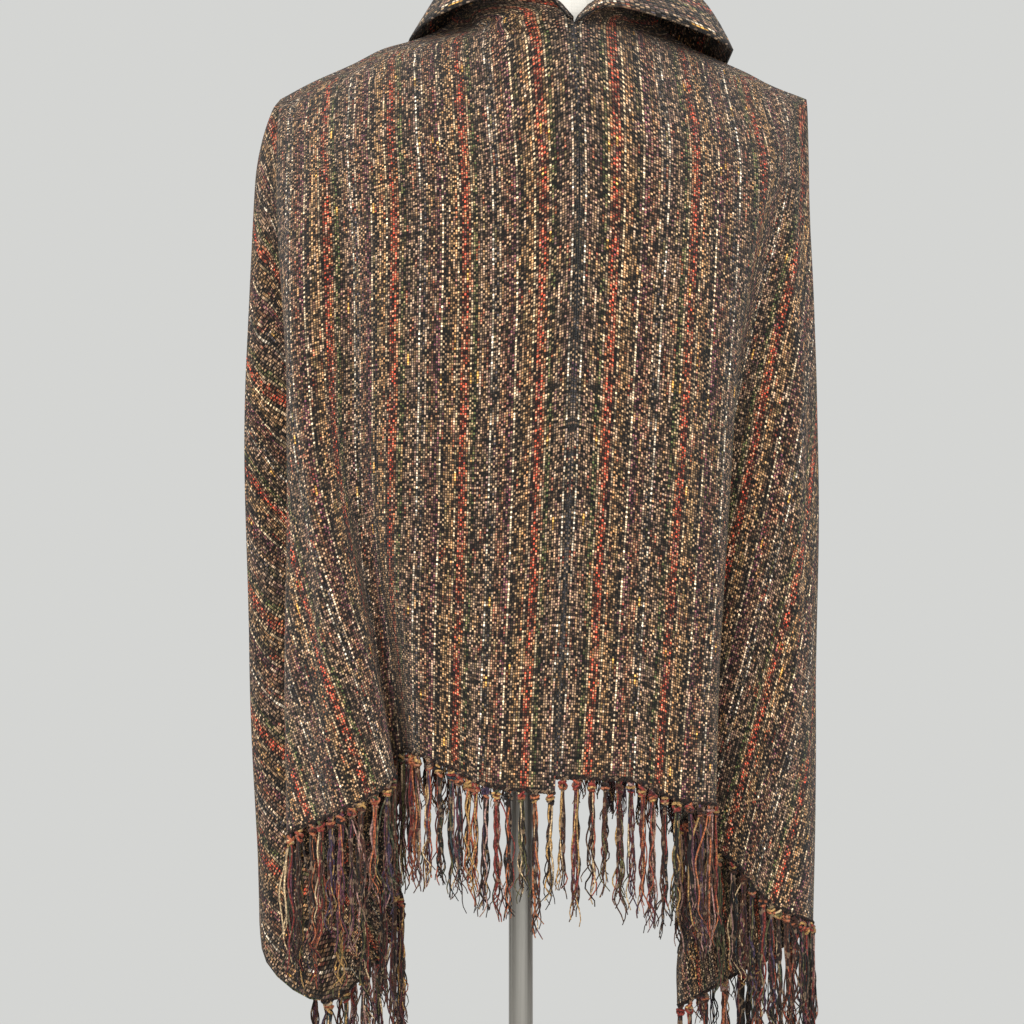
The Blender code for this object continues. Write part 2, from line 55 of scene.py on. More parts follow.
drape = {
    "yokeZ": 1.32,                     # the fold tables give plan positions at these two heights
    "midZ": 1.12,
    "crestReach": 0.30,                # share of the way to the yoke where the cloth turns down
    "crestDrop": 0.010,
    "slitBlend": 0.09,                 # width over which the neck slit draws the cloth aside
    "rowsBetween": (10, 14, 36, 66),   # shoulder to crest, crest to yoke, yoke to mid, mid to hem
    "stripColumns": 36,                # from the seam to the shoulder tip
    "fanStep": 0.0125,
    "rounding": (-0.012, -0.006, 0.0, 0.006, 0.012),   # folds are averaged over this width of cloth
    "seamHalfGaps": (0.0004, 0.0002),  # at the shoulder and at the hem
    "clearOfForm": 0.0019,
    "neckClear": 0.075,                # plan radius about the form's axis that the neckline keeps
    "neckBaseZ": 1.450,
    "formX": 0.028,
    "slitPoint": (0.046, -0.070, 1.456),
    "leastHidden": 0.01,               # a row with less hidden cloth than this is spread evenly
}

# Shoulder crease from the neck to the tip: x, z
shoulder = {
    "left": ((-0.048, 1.492), (-0.070, 1.466), (-0.096, 1.454), (-0.124, 1.446),
             (-0.152, 1.432), (-0.190, 1.415), (-0.218, 1.400)),
    "right": ((0.112, 1.495), (0.130, 1.463), (0.150, 1.449), (0.178, 1.436),
              (0.205, 1.424), (0.226, 1.413), (0.259, 1.400)),
}
# Where each front is drawn to at the neck
frontCrest = {"left": (-0.042, 0.064, 1.452), "right": (0.104, 0.064, 1.452)}

# Folds from the back seam round the side to the front edge
folds = {
    "left": (
        # s     t      yoke x   y        mid x    y        edge x   y       z
        (0.00, 0.69,  0.050, -0.122,   0.044, -0.142,   0.029, -0.130, 0.786),
        (0.08, 0.69, -0.024, -0.128,  -0.030, -0.147,  -0.030, -0.133, 0.793),
        (0.15, 0.69, -0.092, -0.118,  -0.092, -0.139,  -0.067, -0.132, 0.811),
        (0.195, 0.69, -0.130, -0.107, -0.126, -0.128,  -0.095, -0.119, 0.820),
        (0.230, 0.69, -0.152, -0.098, -0.142, -0.114,  -0.103, -0.080, 0.817),
        (0.250, 0.69, -0.162, -0.093, -0.150, -0.114,  -0.119, -0.079, 0.812),
        (0.300, 0.69, -0.179, -0.085, -0.164, -0.125,  -0.107, -0.142, 0.801),
        (0.35, 0.69, -0.194, -0.076,  -0.178, -0.133,  -0.140, -0.158, 0.780),
        (0.41, 0.69, -0.206, -0.066,  -0.192, -0.127,  -0.174, -0.140, 0.763),
        (0.45, 0.69, -0.2145, -0.058, -0.201, -0.113,  -0.202, -0.128, 0.750),
        (0.475, 0.69, -0.2165, -0.054, -0.203, -0.102, -0.200, -0.108, 0.740),
        (0.57, 0.69,  -0.215, -0.046, -0.160, -0.068,  -0.107, -0.061, 0.690),
        (0.61, 0.69,  -0.216, -0.040, -0.159, -0.050,  -0.106, -0.032, 0.672),
        (0.70, 0.69,  -0.230, -0.031,  -0.231, -0.046,  -0.177, -0.050, 0.589),
        (0.70, 0.635, -0.238, -0.022,  -0.246, -0.034,  -0.232, -0.041, 0.632),
        (0.70, 0.60,  -0.239, -0.017,  -0.246, -0.021,  -0.234, -0.024, 0.662),
        (0.70, 0.34,  -0.236, -0.008,  -0.158, -0.012,  -0.142, -0.014, 0.845),
        (0.70, 0.24,  -0.236, -0.002,  -0.158, 0.000,   -0.142, 0.002, 0.880),
        (0.70, 0.00, -0.240, 0.010,   -0.246, 0.018,   -0.246, 0.018, 0.950),
        (0.70, -0.24, -0.234, 0.021,  -0.158, 0.034,   -0.140, 0.034, 0.880),
        (0.70, -0.34, -0.234, 0.026,  -0.158, 0.046,   -0.140, 0.048, 0.845),
        (0.70, -0.59, -0.233, 0.036,  -0.245, 0.057,   -0.237, 0.058, 0.665),
        (0.70, -0.63, -0.231, 0.041,  -0.243, 0.068,   -0.234, 0.073, 0.640),
        (0.70, -0.69, -0.226, 0.048,  -0.226, 0.079,   -0.198, 0.084, 0.598),
        (0.60, -0.69, -0.218, 0.057,  -0.164, 0.080,   -0.130, 0.068, 0.668),
        (0.565, -0.69, -0.216, 0.063, -0.162, 0.093,   -0.128, 0.086, 0.684),
        (0.48, -0.69, -0.208, 0.074,  -0.206, 0.112,   -0.204, 0.110, 0.722),
        (0.44, -0.69, -0.200, 0.082,  -0.194, 0.138,   -0.196, 0.152, 0.750),
        (0.365, -0.69, -0.182, 0.092, -0.166, 0.122,   -0.160, 0.120, 0.790),
        (0.29, -0.69, -0.156, 0.106,  -0.138, 0.152,   -0.134, 0.160, 0.825),
        (0.21, -0.69, -0.126, 0.117,  -0.104, 0.118,   -0.098, 0.108, 0.845),
        (0.13, -0.69, -0.086, 0.125,  -0.070, 0.154,   -0.066, 0.158, 0.855),
        (0.06, -0.69, -0.052, 0.131,  -0.038, 0.140,   -0.033, 0.118, 0.858),
        (0.00, -0.69, -0.024, 0.134,  -0.012, 0.154,   -0.006, 0.150, 0.858),
    ),
    "right": (
        # s     t      yoke x   y        mid x    y        edge x   y       z
        (0.00, 0.69,  0.050, -0.122,   0.044, -0.142,   0.029, -0.130, 0.799),
        (0.075, 0.69, 0.118, -0.122,   0.108, -0.146,   0.090, -0.134, 0.798),
        (0.145, 0.69, 0.180, -0.103,   0.158, -0.136,   0.136, -0.135, 0.780),
        (0.180, 0.69, 0.203, -0.090,   0.177, -0.127,   0.161, -0.131, 0.777),
        (0.205, 0.69, 0.216, -0.082,   0.184, -0.114,   0.168, -0.114, 0.774),
        (0.29, 0.69,  0.228, -0.064,   0.184, -0.076,   0.140, -0.068, 0.752),
        (0.325, 0.69, 0.232, -0.056,   0.190, -0.064,   0.146, -0.046, 0.740),
        (0.37, 0.69,  0.243, -0.046,   0.224, -0.064,   0.186, -0.055, 0.720),
        (0.43, 0.69,  0.249, -0.036,   0.245, -0.058,   0.220, -0.067, 0.681),
        (0.50, 0.69,  0.256, -0.024,   0.261, -0.038,   0.252, -0.052, 0.665),
        (0.56, 0.69,  0.260, -0.012,   0.2665, -0.016,  0.264, -0.020, 0.655),
        (0.63, 0.69,  0.255, 0.000,    0.244, 0.002,    0.204, 0.002, 0.611),
        (0.70, 0.69,  0.250, 0.006,    0.224, 0.010,    0.143, 0.006, 0.576),
        (0.70, 0.60,  0.250, 0.013,    0.223, 0.024,    0.146, 0.030, 0.628),
        (0.70, 0.42,  0.252, 0.020,    0.225, 0.036,    0.174, 0.044, 0.745),
        (0.70, 0.24,  0.257, 0.027,    0.242, 0.046,    0.220, 0.050, 0.850),
        (0.70, 0.00,  0.262, 0.034,    0.264, 0.056,    0.262, 0.058, 0.910),
        (0.70, -0.24, 0.250, 0.042,    0.190, 0.066,    0.164, 0.066, 0.850),
        (0.70, -0.38, 0.246, 0.048,    0.190, 0.078,    0.162, 0.082, 0.775),
        (0.70, -0.62, 0.250, 0.053,    0.256, 0.084,    0.240, 0.084, 0.630),
        (0.70, -0.69, 0.249, 0.057,    0.252, 0.095,    0.230, 0.099, 0.594),
        (0.61, -0.69, 0.236, 0.064,    0.196, 0.103,    0.172, 0.102, 0.650),
        (0.57, -0.69, 0.234, 0.070,    0.194, 0.114,    0.170, 0.117, 0.668),
        (0.49, -0.69, 0.232, 0.078,    0.238, 0.131,    0.238, 0.139, 0.700),
        (0.45, -0.69, 0.223, 0.085,    0.222, 0.150,    0.220, 0.162, 0.733),
        (0.375, -0.69, 0.206, 0.093,   0.192, 0.130,    0.188, 0.130, 0.775),
        (0.295, -0.69, 0.190, 0.102,   0.166, 0.152,    0.162, 0.157, 0.812),
        (0.21, -0.69, 0.168, 0.112,    0.140, 0.118,    0.132, 0.108, 0.838),
        (0.13, -0.69, 0.134, 0.124,    0.108, 0.154,    0.102, 0.158, 0.852),
        (0.06, -0.69, 0.100, 0.131,    0.084, 0.140,    0.079, 0.118, 0.858),
        (0.00, -0.69, 0.074, 0.134,    0.062, 0.155,    0.056, 0.148, 0.858),
    ),
}

# Soft creases laid on the drape: side, where along the cloth's edge, height span, half width, depth
creases = (
    ("left", 0.050, 0.70, 1.25, 0.016, -0.0022),
    ("left", 0.118, 0.75, 1.18, 0.020, 0.0026),
    ("left", 0.172, 0.78, 1.30, 0.014, -0.0024),
    ("left", 0.380, 0.70, 1.20, 0.016, -0.0030),
    ("left", 0.330, 0.74, 1.10, 0.012, 0.0024),
    ("left", 0.560, 0.66, 1.25, 0.020, 0.0030),
    ("left", 0.700, 0.60, 1.10, 0.016, -0.0026),
    ("right", 0.040, 0.74, 1.20, 0.015, 0.0020),
    ("right", 0.105, 0.72, 1.28, 0.018, -0.0026),
    ("right", 0.160, 0.74, 1.10, 0.012, 0.0022),
    ("right", 0.400, 0.64, 1.15, 0.014, -0.0028),
    ("right", 0.470, 0.62, 1.22, 0.016, 0.0026),
    ("right", 0.700, 0.56, 1.00, 0.018, 0.0030),
)

# Slight waviness of the whole cloth: height, turns along its edge, turns up the cloth, start
waves = (
    (0.0009, 61, 9, 0.0),
    (0.0007, 37, -23, 1.7),
)
calm = {"besideSeam": 0.03, "aboveYoke": 0.06, "fade": 0.12}   # where creases and waves die away

# Free edge of each turned-out lapel. The count runs along its fold: neck slit 0, shoulder 3, end 13
lapel = {
    "counts": (0, 3, 6, 9, 13),
    "steps": 14,
    "lift": 0.036,           # how far the roll stands above the straight line across it
    "fullLiftWidth": 0.08,
    "out": 0.006,
    "rollAt": 0.35,          # share of the width where the roll is highest
    "roundShare": 1.25,      # cloth in the roll, against its straight width
    # count, x, y, z
    "left": (
        (1.0,  0.014, -0.094, 1.478),
        (2.0, -0.036, -0.086, 1.474),
        (3.0, -0.088, -0.032, 1.462),
        (4.5, -0.104, 0.044, 1.456),
        (6.0, -0.104, 0.100, 1.408),
        (9.0, -0.066, 0.160, 1.270),
        (12.0, -0.018, 0.172, 1.165),
    ),
    "right": (
        (1.0,  0.078, -0.096, 1.466),
        (2.0,  0.142, -0.074, 1.454),
        (3.0,  0.190, -0.028, 1.440),
        (4.5,  0.190, 0.050, 1.438),
        (6.0,  0.172, 0.104, 1.396),
        (9.0,  0.122, 0.160, 1.270),
        (12.0, 0.068, 0.172, 1.165),
    ),
}


def smoothCurve(knots, values, places):
    # monotone cubic, so that a fold never swings past its own crest
    knots = np.asarray(knots, float)
    values = np.asarray(values, float)
    steps = np.diff(knots)[:, None]
    slopes = np.diff(values, axis=0) / steps
    tangents = np.zeros_like(values)
    before, after = slopes[:-1], slopes[1:]
    weightA = 2 * steps[1:] + steps[:-1]
    weightB = steps[1:] + 2 * steps[:-1]
    with np.errstate(divide="ignore", invalid="ignore"):
        mean = (weightA + weightB) / (weightA / before + weightB / after)
    tangents[1:-1] = np.where(before * after > 0, mean, 0.0)
    tangents[0], tangents[-1] = slopes[0], slopes[-1]
    places = np.asarray(places, float)
    spans = np.clip(np.searchsorted(knots, places, side="right") - 1, 0, len(knots) - 2)
    width = steps[spans]
    u = (places - knots[spans])[:, None] / width
    return ((2 * u ** 3 - 3 * u ** 2 + 1) * values[spans]
            + (u ** 3 - 2 * u ** 2 + u) * width * tangents[spans]
            + (3 * u ** 2 - 2 * u ** 3) * values[spans + 1]
            + (u ** 3 - u ** 2) * width * tangents[spans + 1])


def roundedFolds(stops, values, places):
    ends = smoothCurve(stops, values, [stops[0], stops[-1]])
    total = np.zeros((len(places), len(values[0])))
    for shift in drape["rounding"]:
        moved = places + shift
        inside = np.where(moved < stops[0], 2 * stops[0] - moved, moved)
        inside = np.where(inside > stops[-1], 2 * stops[-1] - inside, inside)
        curve = smoothCurve(stops, values, inside)
        curve = np.where((moved < stops[0])[:, None], 2 * ends[0] - curve, curve)
        curve = np.where((moved > stops[-1])[:, None], 2 * ends[1] - curve, curve)
        total += curve
    return total / len(drape["rounding"])


def edgePlace(s, t):
    if t >= cut["halfLength"]:
        return s
    if t <= -cut["halfLength"]:
        return cutEdge - s
    return cut["panelWidth"] + cut["halfLength"] - t


def flatPoint(place):
    # the point of the flat cut at a distance round its edge
    width, half = cut["panelWidth"], cut["halfLength"]
    if place <= width:
        return place, half
    if place >= width + 2 * half:
        return cutEdge - place, -half
    return width, half - (place - width)


def columnPlaces(side):
    tip = cut["tipS"][side]
    count = drape["stripColumns"]
    strip = [tip * i / count for i in range(count + 1)]
    fanCount = round((cutEdge - 2 * tip) / drape["fanStep"])
    fan = [tip + (cutEdge - 2 * tip) * i / fanCount for i in range(1, fanCount + 1)]
    return np.array(strip + fan + [cutEdge - p for p in reversed(strip[:-1])])


def runLengths(points):
    # distance along a line of points, from its first
    steps = np.linalg.norm(np.diff(points, axis=0), axis=1)
    return np.concatenate([[0.0], np.cumsum(steps)])


def rowLengths(points):
    # the same for every row of a grid, column by column
    steps = np.linalg.norm(np.diff(points, axis=0), axis=2)
    return np.vstack([np.zeros(points.shape[1]), steps.cumsum(axis=0)])


def evenYarns(side, places, grid, flats):
    # slides the flat places along each row, so that the yarns keep their real width where the cloth shows
    middle = int(np.argmin(np.abs(places - cutEdge / 2)))
    halves = [list(range(middle + 1)), list(range(len(places) - 1, middle - 1, -1))]
    even = flats.copy()
    for columns, shown in zip(halves, cut["shownTo"][side]):
        fromSeam = np.minimum(places, cutEdge - places)[columns]
        edge = int(np.argmin(np.abs(fromSeam - shown)))
        inSight = np.arange(len(columns)) <= edge
        real, flat = rowLengths(grid[columns]), rowLengths(flats[columns])
        for j in range(grid.shape[1]):
            hidden = real[-1, j] - real[edge, j]
            if hidden < drape["leastHidden"]:
                target = real[:, j] * flat[-1, j] / max(real[-1, j], 1e-6)
            else:
                spare = (flat[-1, j] - real[edge, j]) / hidden
                beyond = real[edge, j] + spare * (real[:, j] - real[edge, j])
                target = np.where(inSight, real[:, j], beyond)
            for k in range(2):
                even[columns, j, k] = np.interp(target, flat[:, j], flats[columns, j, k])
    return even


def clearNeck(grid):
    # moves points near the form's neck straight out to the neckline's radius
    reach = np.hypot(grid[..., 0] - drape["formX"], grid[..., 1])
    short = (grid[..., 2] > drape["neckBaseZ"]) & (reach < drape["neckClear"])
    push = np.where(short, drape["neckClear"] / np.maximum(reach, 1e-6), 1.0)
    grid[..., 0] = drape["formX"] + (grid[..., 0] - drape["formX"]) * push
    grid[..., 1] *= push


def panelGrid(side):
    # columns of points from the shoulder line down to the cloth's edge, with their flat places
    places = columnPlaces(side)
    stops = [edgePlace(row[0], row[1]) for row in folds[side]]
    plan = roundedFolds(stops, [row[2:] for row in folds[side]], places)
    fromSeam = np.minimum(places, cutEdge - places)
    tip = cut["tipS"][side]
    line = np.array([(x, 0.0, z) for x, z in shoulder[side]])
    lengths = runLengths(line)
    top = smoothCurve(lengths, line, np.clip(fromSeam / tip, 0, 1) * lengths[-1])
    yoke = np.column_stack([plan[:, 0], plan[:, 1], np.full(len(places), drape["yokeZ"])])
    mid = np.column_stack([plan[:, 2], plan[:, 3], np.full(len(places), drape["midZ"])])
    crest = top + drape["crestReach"] * (yoke - top)
    crest[:, 2] = top[:, 2] - drape["crestDrop"]
    blend = np.clip(1 - fromSeam / drape["slitBlend"], 0, 1)[:, None] ** 2
    atBack = (places < cutEdge / 2)[:, None]
    drawnTo = np.where(atBack, np.array(drape["slitPoint"]), np.array(frontCrest[side]))
    crest = crest + blend * (drawnTo - crest)
    columns, flats = [], []
    for i, controls in enumerate(np.stack([top, crest, yoke, mid, plan[:, 4:7]], axis=1)):
        chords = runLengths(controls)
        levels = [0.0]
        for start, end, rows in zip(chords, chords[1:], drape["rowsBetween"]):
            levels += [start + (end - start) * k / rows for k in range(1, rows + 1)]
        columns.append(smoothCurve(chords, controls, levels))
        share = np.array(levels)[:, None] / chords[-1]
        first = np.array([min(fromSeam[i], tip), 0.0])
        flats.append(first + share * (np.array(flatPoint(places[i])) - first))
    grid = np.array(columns)
    outward = -1 if side == "left" else 1
    grid[0, :, 0] += outward * np.linspace(*drape["seamHalfGaps"], grid.shape[1])
    clearNeck(grid)
    return creased(side, places, grid), evenYarns(side, places, grid, np.array(flats))


def creased(side, places, grid):
    # soft listed troughs and ridges, and a slight waviness, along the cloth's normal
    across = np.gradient(grid, axis=0)
    down = np.gradient(grid, axis=1)
    normal = np.cross(across, down)
    normal /= np.maximum(np.linalg.norm(normal, axis=2, keepdims=True), 1e-9)
    outside = -1 if side == "left" else 1
    normal *= outside
    height = grid[..., 2]
    offset = np.zeros(height.shape)
    for owner, place, low, high, halfWidth, depth in creases:
        if owner != side:
            continue
        sideways = (places[:, None] - place) / halfWidth
        middle, half = (low + high) / 2, (high - low) / 2
        along = np.clip(1 - np.abs((height - middle) / half), 0, 1)
        offset += depth * np.exp(-sideways ** 2) * np.sin(along * math.pi / 2)
    wave = sum(size * np.sin(places[:, None] * sideways + height * upward + start)
               for size, sideways, upward, start in waves)
    fromSeam = np.minimum(places, cutEdge - places)[:, None]
    belowYoke = np.clip((drape["yokeZ"] + calm["aboveYoke"] - height) / calm["fade"], 0, 1)
    strength = np.clip(fromSeam / calm["besideSeam"], 0, 1) * belowYoke
    return grid + normal * ((offset + wave) * strength)[..., None]


def lapelGrid(side, grid):
    # rows of points across the turned-out lapel, from its fold to its free edge, and the cloth in each
    rows = drape["rowsBetween"]
    fold = np.concatenate([grid[0, rows[0]:0:-1], grid[-1, :sum(rows[:3]) + 1]])
    last = len(fold) - 1
    counts = np.interp(range(last + 1), np.cumsum([0, rows[0], rows[0], rows[1], rows[2]]), lapel["counts"])
    free = smoothCurve([0.0, *[row[0] for row in lapel[side]], lapel["counts"][-1]],
                       [fold[0], *[row[1:] for row in lapel[side]], fold[-1]], counts)
    across = np.linspace(0, 1, lapel["steps"] + 1)
    strips, widths = [], []
    for start, end in zip(fold[1:last], free[1:last]):
        width = np.linalg.norm(end - start)
        lift = lapel["lift"] * min(1.0, width / lapel["fullLiftWidth"])
        outward = (end - start) * (1, 1, 0)
        outward /= max(np.linalg.norm(outward), 1e-6)
        control = start + np.array([0, 0, lift]) + outward * (lapel["rollAt"] * width + lapel["out"])
        strips.append([(1 - w) ** 2 * start + 2 * w * (1 - w) * control + w ** 2 * end for w in across])
        widths.append(width * lapel["roundShare"])
    return strips, widths


def addPatch(bm, corners, uvs):
    # one face of the cloth, a triangle where two of its corners are the same
    kept = [k for k in range(4) if corners[k] not in corners[:k]]
    if len(kept) < 3:
        return
    face = bm.faces.new([corners[k] for k in kept])
    for loop, k in zip(face.loops, kept):
        loop[bm.loops.layers.uv["cloth"]].uv = uvs[k]


def addLapel(bm, side, grid, flats, verts):
    rows = drape["rowsBetween"]
    backRows, frontRows = rows[0], sum(rows[:3])
    steps = lapel["steps"]
    fold = verts[0][backRows:0:-1] + verts[-1][:frontRows + 1]
    foldT = np.concatenate([flats[0, backRows:0:-1, 1], flats[-1, :frontRows + 1, 1]])
    points, widths = lapelGrid(side, grid)
    strips = [[fold[0]] * (steps + 1)]
    for vert, row in zip(fold[1:-1], points):
        strips.append([vert] + [bm.verts.new(point) for point in row[1:]])
    strips.append([fold[-1]] * (steps + 1))
    widths = [0.0, *widths, 0.0]
    for k in range(len(strips) - 1):
        for m in range(steps):
            near, far = 1 - m / steps, 1 - (m + 1) / steps
            addPatch(bm, [strips[k][m], strips[k + 1][m], strips[k + 1][m + 1], strips[k][m + 1]],
                     [(widths[k] * near, foldT[k]), (widths[k + 1] * near, foldT[k + 1]),
                      (widths[k + 1] * far, foldT[k + 1]), (widths[k] * far, foldT[k])])


def makePanel(side):
    # the finished cloth, and the points along its edge that the fringe hangs from
    grid, flats = panelGrid(side)
    columns, rows = grid.shape[:2]
    stripColumns = drape["stripColumns"]
    bm = bmesh.new()
    bm.loops.layers.uv.new("cloth")
    top = {}
    for i in range(stripColumns):
        top[i] = top[columns - 1 - i] = bm.verts.new(grid[i, 0])
    tip = bm.verts.new(grid[stripColumns, 0])
    verts = [[top.get(i, tip)] + [bm.verts.new(point) for point in grid[i, 1:]] for i in range(columns)]
    for i in range(columns - 1):
        for j in range(rows - 1):
            addPatch(bm, [verts[i][j], verts[i][j + 1], verts[i + 1][j + 1], verts[i + 1][j]],
                     [flats[i, j], flats[i, j + 1], flats[i + 1, j + 1], flats[i + 1, j]])
    addLapel(bm, side, grid, flats, verts)
    bmesh.ops.recalc_face_normals(bm, faces=bm.faces)
    mesh = bpy.data.meshes.new(f"cloth_{side}")
    bm.to_mesh(mesh)
    bm.free()
    mesh.shade_smooth()
    cloth = bpy.data.objects.new(f"cloth_{side}", mesh)
    bpy.context.scene.collection.objects.link(cloth)
    clear = cloth.modifiers.new("clearOfForm", "SHRINKWRAP")
    clear.target = bpy.data.objects["form_torso"]
    clear.wrap_method = "NEAREST_SURFACEPOINT"
    clear.wrap_mode = "OUTSIDE"
    clear.offset = drape["clearOfForm"]
    applyModifiers(cloth)
    hem = [stripColumns + (rows - 1) * (i + 1) for i in range(columns)]   # the last point of each column
    edge = np.array([cloth.data.vertices[v].co for v in hem])
    wall = cloth.modifiers.new("wall", "SOLIDIFY")
    wall.thickness = cut["wall"]
    wall.offset = 0.0
    applyModifiers(cloth)
    return cloth, edge


def applyModifiers(piece):
    bpy.ops.object.select_all(action="DESELECT")
    bpy.context.view_layer.objects.active = piece
    piece.select_set(True)
    for modifier in list(piece.modifiers):
        bpy.ops.object.modifier_apply(modifier=modifier.name)
    piece.select_set(False)


# Tweed: every colour is one warp yarn of the repeat, counted outward from the middle of a rust stripe
tweed = {
    "repeat": 0.062,
    "firstRust": 0.028,
    "weftPitch": 0.0020,
    "warpColours": (
        "a8402a", "96402a", "2c1a12", "b49a78", "8c6440", "7a5a3c", "8e6c46", "785a40",
        "17110d", "1d1510", "b8a284", "5c3438", "502c34", "5c3832", "6c4430", "604438",
        "6c4836", "a89078", "3c3638", "3a322c", "c0b29e", "6c5248", "5c443a", "705848",
        "745a46", "625044", "4a382c", "3e4426", "525230", "8c7a60", "844c30", "9c402c",
    ),
    "dyeRun": 0.011,           # length of yarn that keeps one colour
    "trueRuns": 0.62,          # share of the runs in the warp's own colour
    "spareShare": 0.7,
    "spareColours": ("3a241a", "7e3a26", "4c4626", "8c6a50", "4e2c34", "1c1512", "8e6840", "a88e78"),
    "weftDark": "26130c",
    "weftLight": "9c8060",
    "weftTint": 0.35,
    "slub": "c89448",
    "slubLength": 0.009,
    "slubRarity": 0.9955,
    "slubShare": 0.8,
    "drift": (0.003, 6.0, 9.0),            # sideways wander of the warp: size, and turns in s and t
    "waver": (0.0022, 160.0, 55.0),        # the same up and down, for the weft
    "fibreScale": 1400.0,
    "gapShade": (3.0, -1.25, 0.015),       # painted shade in the gaps between yarns, darker where the relief dips: slope, offset, darkest
    "paintedCrossingLight": (0.05, 2.25),             # painted highlight and shade of single yarn crossings, at random: least, range
    "bump": (0.9, 0.0009),
}


def linearColour(code):
    parts = [int(code[k:k + 2], 16) / 255 for k in (0, 2, 4)]
    return tuple(p / 12.92 if p <= 0.04045 else ((p + 0.055) / 1.055) ** 2.4 for p in parts) + (1.0,)


class NodeSheet:
    # short calls for wiring one material
    def __init__(self, name):
        self.material = bpy.data.materials.new(name)
        self.material.use_nodes = True
        self.tree = self.material.node_tree
        self.shader = self.tree.nodes["Principled BSDF"]

    def add(self, kind, **settings):
        node = self.tree.nodes.new(kind)
        for key, value in settings.items():
            setattr(node, key, value)
        return node

    def link(self, source, target):
        self.tree.links.new(source, target)

    def maths(self, operation, a, b=None, c=None):
        node = self.add("ShaderNodeMath", operation=operation)
        for socket, value in zip(node.inputs, (a, b, c)):
            if value is None:
                continue
            if isinstance(value, (int, float)):
                socket.default_value = value
            else:
                self.link(value, socket)
        return node.outputs[0]

    def mix(self, factor, a, b, blend="MIX"):
        node = self.add("ShaderNodeMix", data_type="RGBA", blend_type=blend)
        for socket, value in ((node.inputs[0], factor), (node.inputs[6], a), (node.inputs[7], b)):
            if isinstance(value, (int, float, tuple)):
                socket.default_value = value
            else:
                self.link(value, socket)
        return node.outputs[2]

    def noise(self, vector, scale, detail=2.0):
        node = self.add("ShaderNodeTexNoise", noise_dimensions="3D")
        node.inputs["Scale"].default_value = scale
        node.inputs["Detail"].default_value = detail
        self.link(vector, node.inputs["Vector"])
        return node.outputs["Fac"]

    def stretchedNoise(self, a, scaleA, b, scaleB, seed, detail=2.0):
        # noise over two of the cloth's own measures; the seed sets it apart from the others
        place = self.vector(self.maths("MULTIPLY", a, scaleA), self.maths("MULTIPLY", b, scaleB), seed)
        return self.noise(place, 1.0, detail)

    def whiteNoise(self, vector):
        node = self.add("ShaderNodeTexWhiteNoise", noise_dimensions="3D")
        self.link(vector, node.inputs["Vector"])
        return node.outputs["Value"]

    def vector(self, x, y, z):
        node = self.add("ShaderNodeCombineXYZ")
        for socket, value in zip(node.inputs, (x, y, z)):
            if isinstance(value, (int, float)):
                socket.default_value = value
            else:
                self.link(value, socket)
        return node.outputs[0]


    def bands(self, factor, codes):
        # even bands of plain colour, with no blending
        ramp = self.add("ShaderNodeValToRGB")
        ramp.color_ramp.interpolation = "CONSTANT"
        stops = ramp.color_ramp.elements
        while len(stops) < len(codes):
            stops.new(0.5)
        for k, code in enumerate(codes):
            stops[k].position = k / len(codes)
            stops[k].color = linearColour(code)
        self.link(factor, ramp.inputs[0])
        return ramp.outputs[0]

    def dim(self, colour, value):
        return self.mix(1.0, colour, self.vector(value, value, value), "MULTIPLY")

    def finish(self, roughness, sheen=0.0, specular=None):
        inputs = self.shader.inputs
        inputs["Roughness"].default_value = roughness
        inputs["Sheen Weight"].default_value = sheen
        if specular is not None:
            inputs["Specular IOR Level"].default_value = specular

    def bump(self, height, strength, distance):
        node = self.add("ShaderNodeBump")
        node.inputs["Strength"].default_value = strength
        node.inputs["Distance"].default_value = distance
        self.link(height, node.inputs["Height"])
        self.link(node.outputs[0], self.shader.inputs["Normal"])


